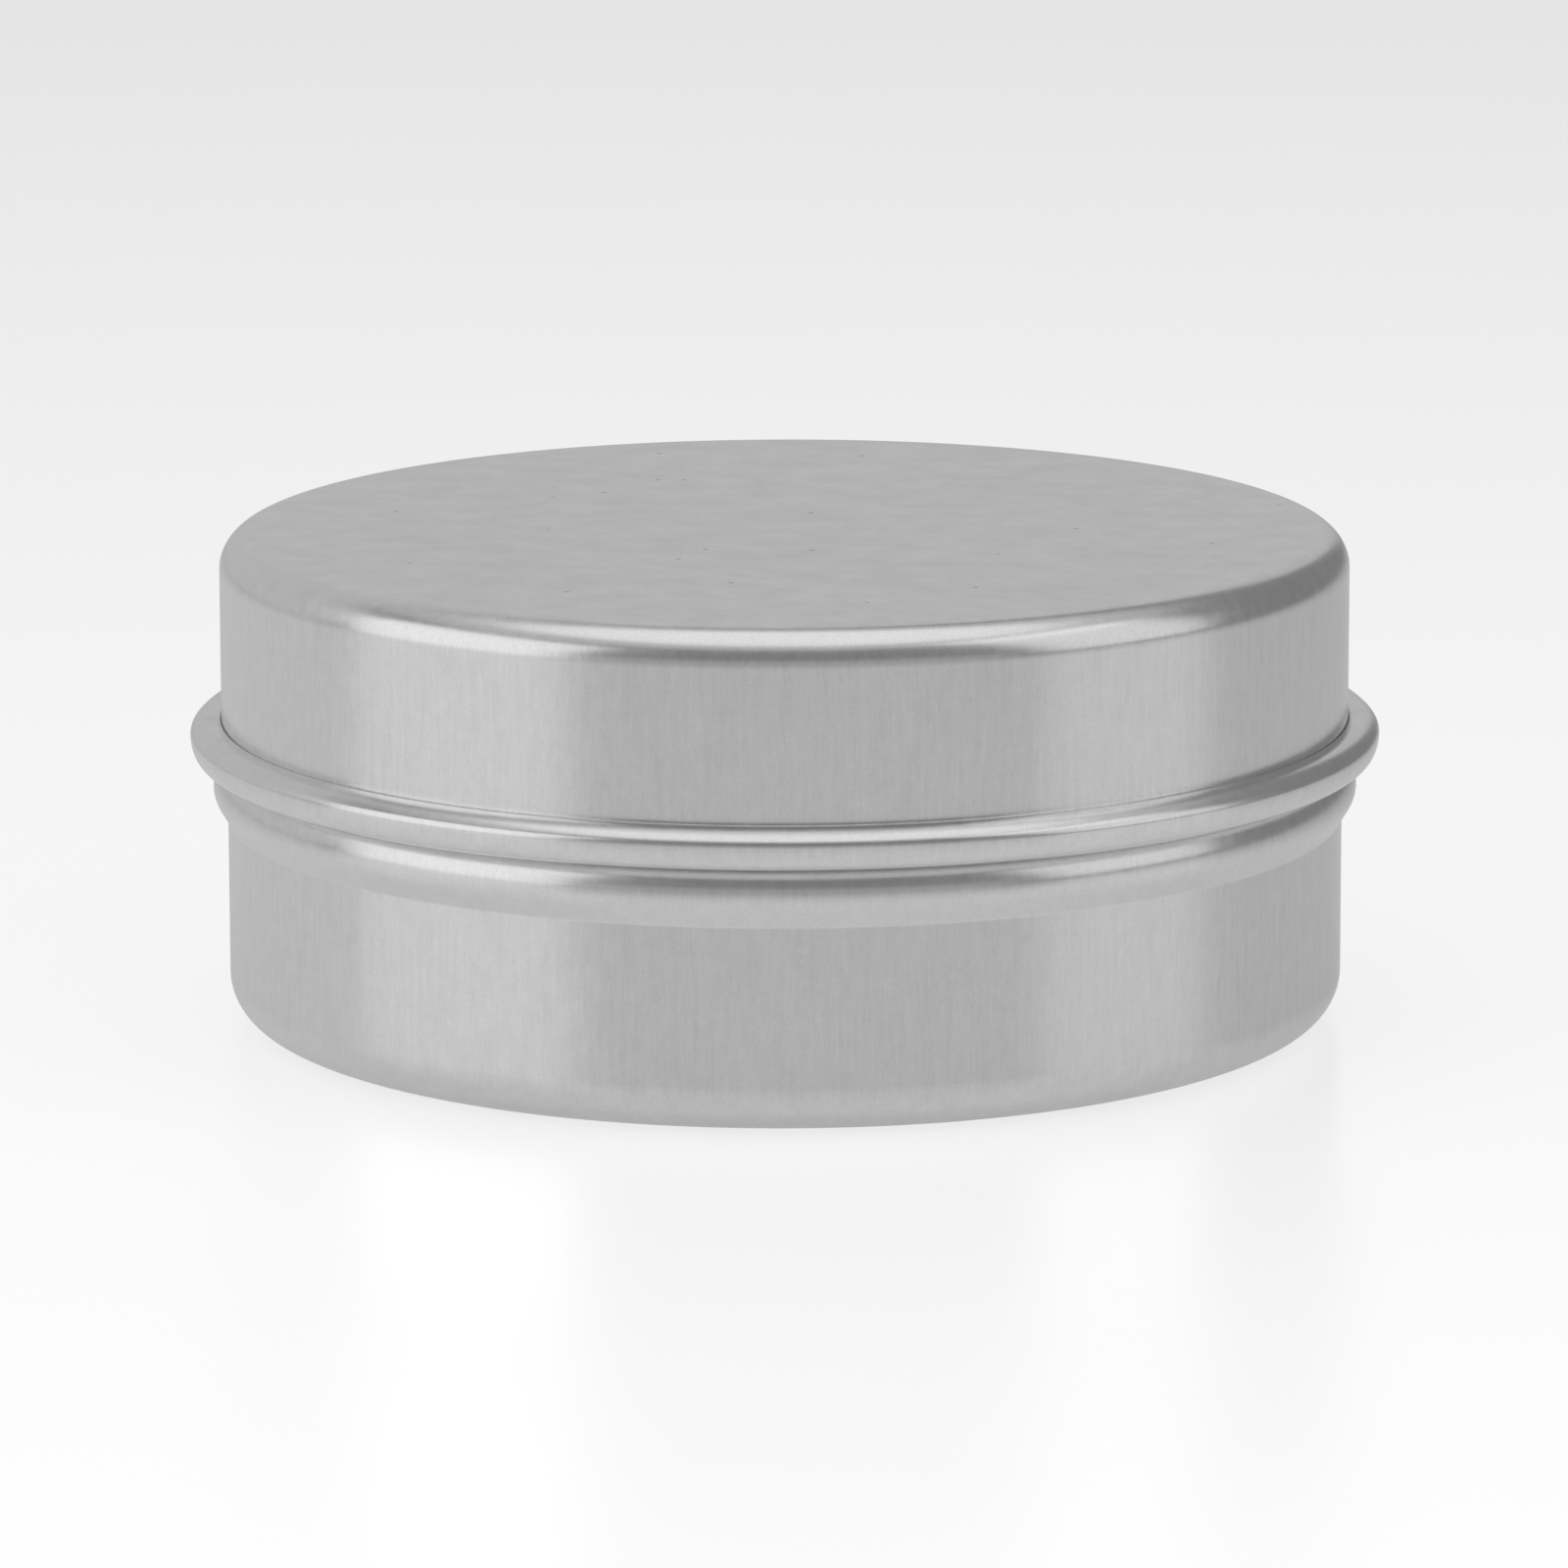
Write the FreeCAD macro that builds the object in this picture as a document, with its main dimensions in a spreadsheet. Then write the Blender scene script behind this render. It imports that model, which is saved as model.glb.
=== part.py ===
"""Seamless slip-lid candle tin: a drawn tin body and a drawn lid with a rolled edge.

Frame: millimetres, +Z up, origin on the tin's axis at the height of the surface it stands on.
"""
import FreeCAD, Part

import os
from collections import namedtuple
from math import acos, asin, atan2, cos, pi, sin, sqrt

import Sketcher

# Driving dimensions in millimetres: alias, size, what it measures.
DIMENSIONS = (
    ("overall_height", 28.00, "floor to the top of the closed lid"),
    ("lid_dia", 64.34, "outside of the lid's wall"),
    ("metal", 0.30, "thickness of the sheet"),
    ("lid_depth", 12.90, "top of the lid to the bottom of its rolled edge"),
    ("lid_corner", 2.00, "outside radius of the lid's top corner"),
    ("curl_width", 2.075, "inside of the lid's wall to the outside of its rolled edge"),
    ("curl_height", 2.34, "bottom of the rolled edge to its crown"),
    ("curl_foot", 1.00, "outside radius where the edge turns outwards"),
    ("curl_side", 2.20, "outside radius of the rolled edge's side below its widest place"),
    ("curl_shoulder", 0.60, "outside radius of the rolled edge just above its widest place"),
    ("curl_crown", 1.50, "outside radius where the edge turns back to the wall"),
    ("edge_gap", 0.04, "between a rolled edge's raw end and the wall it turns back to"),
    ("fit_gap", 0.15, "radial clearance between the lid's wall and the tin's neck"),
    ("seat_gap", 0.05, "clearance between the rim and the lid where the lid sits down"),
    ("rim_dia", 1.80, "outside of the tin's rolled rim"),
    ("shoulder", 0.13, "the tin's wall stands this far outside its neck"),
    ("bead_stand", 0.81, "the bead stands this far outside the tin's wall"),
    ("bead_drop", 1.62, "bottom of the lid down to the bead's widest place"),
    ("bead_upper", 2.30, "outside radius of the bead's upper side"),
    ("bead_lower", 1.50, "outside radius of the bead below its widest place"),
    ("bead_flat", 1.09, "length of the bead's straight slope down to its root"),
    ("bead_root", 0.25, "outside radius where the bead runs into the wall and into the neck"),
    ("foot_corner", 2.70, "outside radius of the tin's bottom corner"),
    ("foot_width", 2.00, "flat ring that the tin stands on"),
    ("panel_rise", 0.40, "height of the bottom's panel above the foot ring"),
    ("panel_bend", 1.00, "underside radius of both bends between the panel and the foot ring"),
)

# Sizes worked out from the driving dimensions.
LID_RADIUS = "Sizes.lid_dia / 2"
CURL_RADIUS = f"{LID_RADIUS} - Sizes.metal + Sizes.curl_width"
LID_BOTTOM = "Sizes.overall_height - Sizes.lid_depth"
FOOT_HEIGHT = f"{LID_BOTTOM} + Sizes.curl_foot"
CROWN_HEIGHT = f"{LID_BOTTOM} + Sizes.curl_height - Sizes.curl_crown"
NECK_RADIUS = f"{LID_RADIUS} - Sizes.metal - Sizes.fit_gap"
WALL_RADIUS = f"{NECK_RADIUS} + Sizes.shoulder"
BEAD_RADIUS = f"{WALL_RADIUS} + Sizes.bead_stand"
BEAD_HEIGHT = f"{LID_BOTTOM} - Sizes.bead_drop"
FOOT_EDGE = f"{WALL_RADIUS} - Sizes.foot_corner - Sizes.foot_width"
RIM_ROLL = "Sizes.rim_dia / 2"

# The rolled rim seats in the lid's top corner, where one round shape lies inside the other.
SEAT_REACH = f"(Sizes.lid_corner - Sizes.metal - {RIM_ROLL} - Sizes.seat_gap)"
SEAT_ASIDE = f"max(Sizes.lid_corner - Sizes.metal - {RIM_ROLL} - Sizes.fit_gap; 0)"
RIM_HEIGHT = f"Sizes.overall_height - Sizes.lid_corner + sqrt({SEAT_REACH}^2 - {SEAT_ASIDE}^2)"

# One bend of the sheet: centre, radius of its outer face, and angles in the order of travel.
Bend = namedtuple("Bend", "name x z radius start stop")

# Sketcher's numbers for an element's two ends and its centre, and for the sketch's origin and axes.
START, END, CENTRE = 1, 2, 3
ORIGIN, LEVEL_AXIS, TURNING_AXIS = -1, -1, -2

SAME_PLACE = 1e-6


def add_sheet(doc):
    """Write the driving dimensions into the spreadsheet that every sketch reads."""
    sheet = doc.addObject("Spreadsheet::Sheet", "Sizes")
    for row, (alias, size, note) in enumerate(DIMENSIONS, start=1):
        sheet.set(f"A{row}", alias)
        sheet.set(f"B{row}", str(size))
        sheet.setAlias(f"B{row}", alias)
        sheet.set(f"C{row}", note)
    doc.recompute()
    return sheet


def add_body(doc, name):
    """Start one sub-part, with a sketch on its own upright plane."""
    body = doc.addObject("PartDesign::Body", name)
    body.Label = name
    sketch = body.newObject("Sketcher::SketchObject", f"{name}_section")
    planes = {feature.Role: feature for feature in body.Origin.OriginFeatures}
    sketch.AttachmentSupport = (planes["XZ_Plane"], [""])
    sketch.MapMode = "FlatFace"
    return body, sketch


def draw_face(sketch, bends, offset):
    """Draw one face of the sheet from the axis to its raw end, with a flat wherever bends stand apart.

    Returns the elements by name, and the raw end as an element and its end.
    """
    elements = {}
    rules = []
    joint = None
    pen = None
    for bend in bends:
        turns_left = bend.stop > bend.start
        radius = bend.radius - offset if turns_left else bend.radius + offset
        centre = FreeCAD.Vector(bend.x, bend.z)
        circle = Part.Circle(centre, FreeCAD.Vector(0, 0, 1), radius)
        arc = Part.ArcOfCircle(circle, min(bend.start, bend.stop), max(bend.start, bend.stop))
        first, last = (START, END) if turns_left else (END, START)
        places = {START: arc.StartPoint, END: arc.EndPoint}
        if pen is None:
            pen = FreeCAD.Vector(0, places[first].y)
        if pen.distanceToPoint(places[first]) > SAME_PLACE:
            flat = sketch.addGeometry(Part.LineSegment(pen, places[first]))
            if abs(places[first].y - pen.y) < SAME_PLACE:
                rules.append(Sketcher.Constraint("Horizontal", flat))
            elif abs(places[first].x - pen.x) < SAME_PLACE:
                rules.append(Sketcher.Constraint("Vertical", flat))
            if joint:
                rules.append(Sketcher.Constraint("Tangent", *joint, flat, START))
            elements[f"to_{bend.name}"] = flat
            joint = (flat, END)
        index = sketch.addGeometry(arc)
        rules.append(Sketcher.Constraint("Tangent", *joint, index, first))
        elements[bend.name] = index
        joint = (index, last)
        pen = places[last]
    sketch.addConstraint(rules)
    return elements, joint


def is_sloping(line):
    """Tell whether a flat is neither level nor upright."""
    run = line.EndPoint - line.StartPoint
    return min(abs(run.x), abs(run.y)) > SAME_PLACE


def draw_section(sketch, bends, metal):
    """Draw both faces of the sheet and close them; metal is positive where it lies left of travel."""
    outer, outer_end = draw_face(sketch, bends, 0)
    inner, inner_end = draw_face(sketch, bends, metal)
    outer_start = (outer[f"to_{bends[0].name}"], START)
    inner_start = (inner[f"to_{bends[0].name}"], START)
    ends = [sketch.getPoint(*place) for place in (outer_start, inner_start, outer_end, inner_end)]
    axis_edge = sketch.addGeometry(Part.LineSegment(ends[0], ends[1]))
    raw_edge = sketch.addGeometry(Part.LineSegment(ends[2], ends[3]))
    rules = [Sketcher.Constraint("Coincident", outer[bend.name], CENTRE, inner[bend.name], CENTRE)
             for bend in bends]
    rules += [
        Sketcher.Constraint("Coincident", *outer_start, axis_edge, START),
        Sketcher.Constraint("Coincident", *inner_start, axis_edge, END),
        Sketcher.Constraint("PointOnObject", *outer_start, TURNING_AXIS),
        Sketcher.Constraint("PointOnObject", *inner_start, TURNING_AXIS),
        Sketcher.Constraint("Coincident", *outer_end, raw_edge, START),
        Sketcher.Constraint("Coincident", *inner_end, raw_edge, END),
        Sketcher.Constraint("PointOnObject", outer[bends[-1].name], CENTRE, raw_edge),
    ]
    rules += [Sketcher.Constraint("Parallel", outer[name], inner[name])
              for name in outer if name.startswith("to_") and is_sloping(sketch.Geometry[outer[name]])]
    sketch.addConstraint(rules)
    lower, upper = (START, END) if metal > 0 else (END, START)
    set_distance(sketch, "metal", "DistanceY", (axis_edge, lower), (axis_edge, upper), "Sizes.metal")
    return outer, inner, raw_edge


def bind(sketch, name, index, expression):
    """Name a dimension of the sketch and tie it to the spreadsheet."""
    sketch.renameConstraint(index, name)
    sketch.setExpression(f"Constraints.{name}", expression)


def set_distance(sketch, name, kind, place_from, place_to, expression):
    """Set the level or upright distance from one place of the sketch to another."""
    value = float(sketch.evalExpression(expression))
    rule = Sketcher.Constraint(kind, *place_from, *place_to, value)
    bind(sketch, name, sketch.addConstraint(rule), expression)


def set_radius_from_axis(sketch, name, place, expression):
    """Set how far a place stands from the axis."""
    set_distance(sketch, name, "DistanceX", (ORIGIN, START), place, expression)


def set_height(sketch, name, place, expression):
    """Set how high a place stands above the floor."""
    set_distance(sketch, name, "DistanceY", (ORIGIN, START), place, expression)


def set_bend_radius(sketch, name, arc, expression):
    """Set the radius of an arc."""
    value = float(sketch.evalExpression(expression))
    bind(sketch, name, sketch.addConstraint(Sketcher.Constraint("Radius", arc, value)), expression)


def set_flat_length(sketch, name, flat, expression):
    """Set the length of a sloping flat."""
    value = float(sketch.evalExpression(expression))
    bind(sketch, name, sketch.addConstraint(Sketcher.Constraint("Distance", flat, value)), expression)


def turn_section(body, sketch):
    """Turn the closed half section once around the axis."""
    turned = body.newObject("PartDesign::Revolution", f"{body.Name}_shell")
    turned.Profile = sketch
    turned.ReferenceAxis = (sketch, ["V_Axis"])
    turned.Angle = 360
    sketch.Visibility = False


def make_lid(doc, sheet):
    """Draw the lid: flat top, round corner, plain wall and an edge rolled outwards to meet the wall."""
    body, sketch = add_body(doc, "lid")

    def size(expression):
        return float(sheet.evalExpression(expression))

    wall = size(LID_RADIUS)
    metal = sheet.metal

    # Each bend of the rolled edge carries on from the one before, about a centre of its own.
    foot_x = wall - metal + sheet.curl_foot
    foot_z = size(FOOT_HEIGHT)
    side_more = sheet.curl_side - sheet.curl_foot
    side_turn = acos((sheet.curl_foot + sheet.curl_side - sheet.curl_width) / side_more)
    side_x = size(CURL_RADIUS) - sheet.curl_side
    widest_z = foot_z + side_more * sin(side_turn)
    shoulder_x = size(CURL_RADIUS) - sheet.curl_shoulder
    crown_z = size(CROWN_HEIGHT)
    crown_more = sheet.curl_crown - sheet.curl_shoulder
    crown_turn = asin((widest_z - crown_z) / crown_more)
    crown_x = shoulder_x - crown_more * cos(crown_turn)
    shut = acos((wall + sheet.edge_gap - crown_x) / sheet.curl_crown)
    turns = (pi, 2 * pi - side_turn, 2 * pi, 2 * pi + crown_turn, 2 * pi + shut)
    bends = (
        Bend("corner", wall - sheet.lid_corner, sheet.overall_height - sheet.lid_corner,
             sheet.lid_corner, pi / 2, 0),
        Bend("foot", foot_x, foot_z, sheet.curl_foot - metal, *turns[0:2]),
        Bend("side", side_x, widest_z, sheet.curl_side - metal, *turns[1:3]),
        Bend("shoulder", shoulder_x, widest_z, sheet.curl_shoulder - metal, *turns[2:4]),
        Bend("crown", crown_x, crown_z, sheet.curl_crown - metal, *turns[3:5]),
    )
    outer, inner, raw_edge = draw_section(sketch, bends, -metal)
    set_height(sketch, "top", (outer["to_corner"], START), "Sizes.overall_height")
    set_bend_radius(sketch, "corner", outer["corner"], "Sizes.lid_corner")
    set_radius_from_axis(sketch, "wall", (outer["to_foot"], START), LID_RADIUS)
    for part in ("foot", "side", "shoulder", "crown"):
        set_bend_radius(sketch, part, inner[part], f"Sizes.curl_{part}")
    set_height(sketch, "foot_height", (outer["foot"], CENTRE), FOOT_HEIGHT)
    set_height(sketch, "crown_height", (outer["crown"], CENTRE), CROWN_HEIGHT)
    widest_rule = Sketcher.Constraint("Horizontal", outer["side"], CENTRE, outer["shoulder"], CENTRE)
    sketch.addConstraint(widest_rule)
    set_radius_from_axis(sketch, "widest", (inner["side"], END), CURL_RADIUS)
    set_radius_from_axis(sketch, "raw_edge", (raw_edge, END), f"{LID_RADIUS} + Sizes.edge_gap")
    turn_section(body, sketch)
    return body


def make_tin_body(doc, sheet):
    """Draw the tin: bottom panel, foot ring, wall, stop bead, neck and a rim rolled inwards."""
    body, sketch = add_body(doc, "tin_body")

    def size(expression):
        return float(sheet.evalExpression(expression))

    wall = size(WALL_RADIUS)
    neck = size(NECK_RADIUS)
    foot_edge = size(FOOT_EDGE)
    corner = sheet.foot_corner

    # The step down from the panel is two equal bends that meet where they slope the most.
    step_drop = 2 * sheet.panel_bend - sheet.panel_rise
    step_run = sqrt((2 * sheet.panel_bend) ** 2 - step_drop ** 2)
    step_turn = atan2(step_run, step_drop)

    # The upper root bend touches the bead's circle; a straight slope joins the lower ones.
    bead_height = size(BEAD_HEIGHT)
    lower_centre = size(BEAD_RADIUS) - sheet.bead_lower
    upper_centre = size(BEAD_RADIUS) - sheet.bead_upper
    lower_round = sheet.bead_root + sheet.bead_lower
    lower_reach = sqrt(lower_round ** 2 + sheet.bead_flat ** 2)
    lower_turn = acos((lower_round - sheet.bead_stand) / lower_reach) - atan2(sheet.bead_flat, lower_round)
    lower_drop = lower_round * sin(lower_turn) + sheet.bead_flat * cos(lower_turn)
    upper_aside = neck + sheet.bead_root - upper_centre
    upper_climb = sqrt((sheet.bead_root + sheet.bead_upper) ** 2 - upper_aside ** 2)
    upper_turn = atan2(upper_climb, upper_aside)

    rim_roll = size(RIM_ROLL)
    shut = acos((rim_roll - sheet.metal - sheet.edge_gap) / rim_roll)
    bends = (
        Bend("step_down", foot_edge - step_run, sheet.panel_rise - sheet.panel_bend,
             sheet.panel_bend, pi / 2, pi / 2 - step_turn),
        Bend("step_out", foot_edge, sheet.panel_bend, sheet.panel_bend,
             3 * pi / 2 - step_turn, 3 * pi / 2),
        Bend("corner", wall - corner, corner, corner, 3 * pi / 2, 2 * pi),
        Bend("lower_root", wall + sheet.bead_root, bead_height - lower_drop, sheet.bead_root,
             pi, pi - lower_turn),
        Bend("bead_lower", lower_centre, bead_height, sheet.bead_lower, -lower_turn, 0),
        Bend("bead_upper", upper_centre, bead_height, sheet.bead_upper, 0, upper_turn),
        Bend("upper_root", neck + sheet.bead_root, bead_height + upper_climb, sheet.bead_root,
             pi + upper_turn, pi),
        Bend("rim", neck - rim_roll, size(RIM_HEIGHT), rim_roll, 0, 2 * pi - shut),
    )
    outer, inner, raw_edge = draw_section(sketch, bends, sheet.metal)
    set_height(sketch, "panel_rise", (outer["to_step_down"], START), "Sizes.panel_rise")
    for step in ("step_down", "step_out"):
        set_bend_radius(sketch, step, outer[step], "Sizes.panel_bend")
    floor_rule = Sketcher.Constraint("PointOnObject", outer["to_corner"], START, LEVEL_AXIS)
    sketch.addConstraint(floor_rule)
    set_radius_from_axis(sketch, "foot_edge", (outer["to_corner"], START), FOOT_EDGE)
    set_bend_radius(sketch, "corner", outer["corner"], "Sizes.foot_corner")
    set_radius_from_axis(sketch, "wall", (outer["to_lower_root"], START), WALL_RADIUS)
    for root in ("lower_root", "upper_root"):
        set_bend_radius(sketch, root, outer[root], "Sizes.bead_root")
    for side in ("bead_lower", "bead_upper"):
        set_bend_radius(sketch, side, outer[side], f"Sizes.{side}")
    set_flat_length(sketch, "bead_flat", outer["to_bead_lower"], "Sizes.bead_flat")
    level_rule = Sketcher.Constraint(
        "Horizontal", outer["bead_lower"], CENTRE, outer["bead_upper"], CENTRE)
    sketch.addConstraint(level_rule)
    set_height(sketch, "bead_height", (outer["bead_upper"], CENTRE), BEAD_HEIGHT)
    set_radius_from_axis(sketch, "bead", (outer["bead_upper"], START), BEAD_RADIUS)
    set_radius_from_axis(sketch, "neck", (outer["to_rim"], START), NECK_RADIUS)
    set_bend_radius(sketch, "rim_roll", outer["rim"], RIM_ROLL)
    set_height(sketch, "rim_height", (outer["rim"], CENTRE), RIM_HEIGHT)
    set_radius_from_axis(sketch, "raw_edge", (raw_edge, START),
                         f"{NECK_RADIUS} - Sizes.metal - Sizes.edge_gap")
    turn_section(body, sketch)
    return body


def check_model(doc, bodies):
    """Stop before anything is written if a feature failed or a sub-part isn't one sound solid."""
    for item in doc.Objects:
        if "Invalid" in item.State or "Error" in item.State:
            raise RuntimeError(f"{item.Name} failed: {item.State}")
        if item.isDerivedFrom("Sketcher::SketchObject") and not item.FullyConstrained:
            raise RuntimeError(f"{item.Name} is not fully constrained")
    for body in bodies:
        if body.Shape.isNull() or not body.Shape.isValid() or len(body.Shape.Solids) != 1:
            raise RuntimeError(f"{body.Label} is not one valid solid")


def main():
    """Build the tin and write each sub-part to its own STEP file."""
    doc = FreeCAD.newDocument("CandleTin")
    sheet = add_sheet(doc)
    bodies = (make_tin_body(doc, sheet), make_lid(doc, sheet))
    doc.recompute()
    check_model(doc, bodies)
    os.makedirs("parts", exist_ok=True)
    for body in bodies:
        body.Shape.exportStep(f"parts/{body.Label}.step")
        print(body.Label, body.Shape.BoundBox, f"{body.Shape.Volume:.1f} mm3")


main()
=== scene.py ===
"""Finished look of a slip-lid candle tin: a drawn tin body and a drawn lid in satin aluminium.

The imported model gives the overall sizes. Each piece is turned from a half section of its sheet,
with the same bends as the pressed part, and dressed in a procedural metal.
"""
import logging
from dataclasses import dataclass
from enum import Enum
from math import acos, asin, atan2, ceil, cos, pi, radians, sin, sqrt, tan

import bpy
from mathutils import Matrix, Vector


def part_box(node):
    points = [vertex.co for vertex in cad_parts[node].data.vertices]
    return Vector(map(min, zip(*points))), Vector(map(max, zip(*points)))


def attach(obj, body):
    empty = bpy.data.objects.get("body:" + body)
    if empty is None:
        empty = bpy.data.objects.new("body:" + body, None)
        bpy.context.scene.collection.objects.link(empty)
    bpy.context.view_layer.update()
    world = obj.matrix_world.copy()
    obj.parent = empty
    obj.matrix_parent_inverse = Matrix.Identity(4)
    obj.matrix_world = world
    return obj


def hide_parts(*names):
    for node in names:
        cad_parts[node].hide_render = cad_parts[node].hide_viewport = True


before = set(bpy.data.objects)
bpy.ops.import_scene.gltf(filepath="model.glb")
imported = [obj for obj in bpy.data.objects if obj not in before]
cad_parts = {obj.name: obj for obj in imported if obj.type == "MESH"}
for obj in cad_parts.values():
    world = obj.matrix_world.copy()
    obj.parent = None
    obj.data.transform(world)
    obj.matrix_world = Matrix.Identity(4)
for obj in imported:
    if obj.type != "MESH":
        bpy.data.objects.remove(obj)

LOG = logging.getLogger("candle_tin")

MM = 0.001
MICRON = 0.000001
FULL_TURN = 2 * pi


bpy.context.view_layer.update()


# ---------------------------------------------------------------- sheet metal


class MetalSide(Enum):
    """Which side of the outer face the metal lies on, along the direction of travel."""

    LEFT = 1
    RIGHT = -1


@dataclass(frozen=True)
class Bend:
    """One round bend of the sheet, in the upright plane of the half section.

    The angles run in the order of travel, so a bend whose angles grow turns left.
    """

    x: float
    z: float
    radius: float
    start: float
    stop: float

    @property
    def turns_left(self) -> bool:
        """Tell whether the bend turns left along the direction of travel."""
        return self.stop > self.start

    def place(self, angle: float) -> tuple[float, float]:
        """Give the point of the bend at an angle."""
        return self.x + self.radius * cos(angle), self.z + self.radius * sin(angle)

    def moved_in(self, depth: float, side: MetalSide) -> "Bend":
        """Give the same bend on the face that lies deeper in the sheet.

        Args:
            depth: How far below the outer face the wanted face lies.
            side: The side of the outer face that the metal lies on.

        Returns:
            The bend of the deeper face, about the same centre.
        """
        towards_centre = self.turns_left == (side is MetalSide.LEFT)
        radius = self.radius - depth if towards_centre else self.radius + depth
        return Bend(self.x, self.z, radius, self.start, self.stop)

    def reversed(self) -> "Bend":
        """Give the same bend, travelled the other way."""
        return Bend(self.x, self.z, self.radius, self.stop, self.start)


@dataclass
class SectionPen:
    """Draws a half section with the modelling tools: flats are extruded and bends are spun."""

    name: str
    facet: float = radians(5)
    fewest_facets: int = 6
    flat_margin: float = 0.12 * MM
    weld: float = 0.001 * MM
    shortest: float = 0.0001 * MM
    place: tuple[float, float] = (0.0, 0.0)

    def put_down(self, x: float, z: float) -> None:
        """Start a new mesh as a single vertex.

        Args:
            x: Distance of the vertex from the axis.
            z: Height of the vertex.
        """
        bpy.ops.object.select_all(action="DESELECT")
        bpy.ops.mesh.primitive_plane_add(size=MM, location=(0, 0, 0))
        bpy.context.object.name = self.name
        bpy.ops.object.mode_set(mode="EDIT")
        bpy.ops.mesh.select_mode(type="VERT")
        bpy.ops.mesh.select_all(action="SELECT")
        bpy.ops.mesh.merge(type="CENTER")
        bpy.ops.transform.translate(value=(x, 0, z))
        self.place = (x, z)

    def line_to(self, x: float, z: float) -> None:
        """Extrude the pen's vertex straight to a place, if it isn't there already.

        Args:
            x: Distance of the place from the axis.
            z: Height of the place.
        """
        step = Vector((x - self.place[0], 0, z - self.place[1]))
        if step.length > self.shortest:
            bpy.ops.mesh.extrude_vertices_move(TRANSFORM_OT_translate={"value": step})
            self.place = (x, z)

    def flat_to(self, x: float, z: float) -> None:
        """Draw a flat with a short facet at both ends, which keeps its shading flat.

        Args:
            x: Distance of the flat's far end from the axis.
            z: Height of the flat's far end.
        """
        start = Vector(self.place)
        run = Vector((x, z)) - start
        if run.length > 4 * self.flat_margin:
            margin = run.normalized() * self.flat_margin
            for stop in (start + margin, start + run / 2, start + run - margin):
                self.line_to(*stop)
        self.line_to(x, z)

    def bend(self, bend: Bend) -> None:
        """Draw a flat up to the bend and spin the pen's vertex round it.

        Args:
            bend: The bend to follow.
        """
        self.flat_to(*bend.place(bend.start))
        turn = bend.stop - bend.start
        steps = max(self.fewest_facets, ceil(abs(turn) / self.facet))
        bpy.ops.mesh.spin(
            steps=steps, angle=turn, center=(bend.x, 0, bend.z), axis=(0, 1, 0), use_auto_merge=False)
        self.place = bend.place(bend.stop)

    def turn(self, segments: int) -> bpy.types.Object:
        """Turn the section round the upright axis and close its seam and its poles.

        Args:
            segments: Number of steps in the full turn.

        Returns:
            The finished object, out of edit mode.
        """
        bpy.ops.mesh.select_all(action="SELECT")
        bpy.ops.mesh.spin(
            steps=segments, angle=FULL_TURN, center=(0, 0, 0), axis=(0, 0, 1), use_auto_merge=False)
        bpy.ops.mesh.select_all(action="SELECT")
        bpy.ops.mesh.remove_doubles(threshold=self.weld)
        bpy.ops.mesh.normals_make_consistent(inside=False)
        bpy.ops.mesh.faces_shade_smooth()
        bpy.ops.mesh.select_all(action="DESELECT")
        bpy.ops.object.mode_set(mode="OBJECT")
        return bpy.context.object


@dataclass
class DrawnShell:
    """A cup or cap pressed from one disc of sheet."""

    metal: float = 0.30 * MM
    segments: int = 256
    side: MetalSide = MetalSide.LEFT

    def bends(self) -> list[Bend]:
        """List the bends of the outer face, from the axis to the raw edge."""
        raise NotImplementedError

    def build(self, name: str) -> bpy.types.Object:
        """Model the shell: outer face out, raw edge, inner face back.

        Args:
            name: Name of the finished piece.

        Returns:
            The shell as a closed mesh.
        """
        outer = self.bends()
        inner = [bend.moved_in(self.metal, self.side).reversed() for bend in reversed(outer)]
        pen = SectionPen(name)
        pen.put_down(0, outer[0].place(outer[0].start)[1])
        for bend in outer:
            pen.bend(bend)
        pen.line_to(*inner[0].place(inner[0].start))
        for bend in inner:
            pen.bend(bend)
        pen.flat_to(0, pen.place[1])
        return pen.turn(self.segments)


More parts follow.
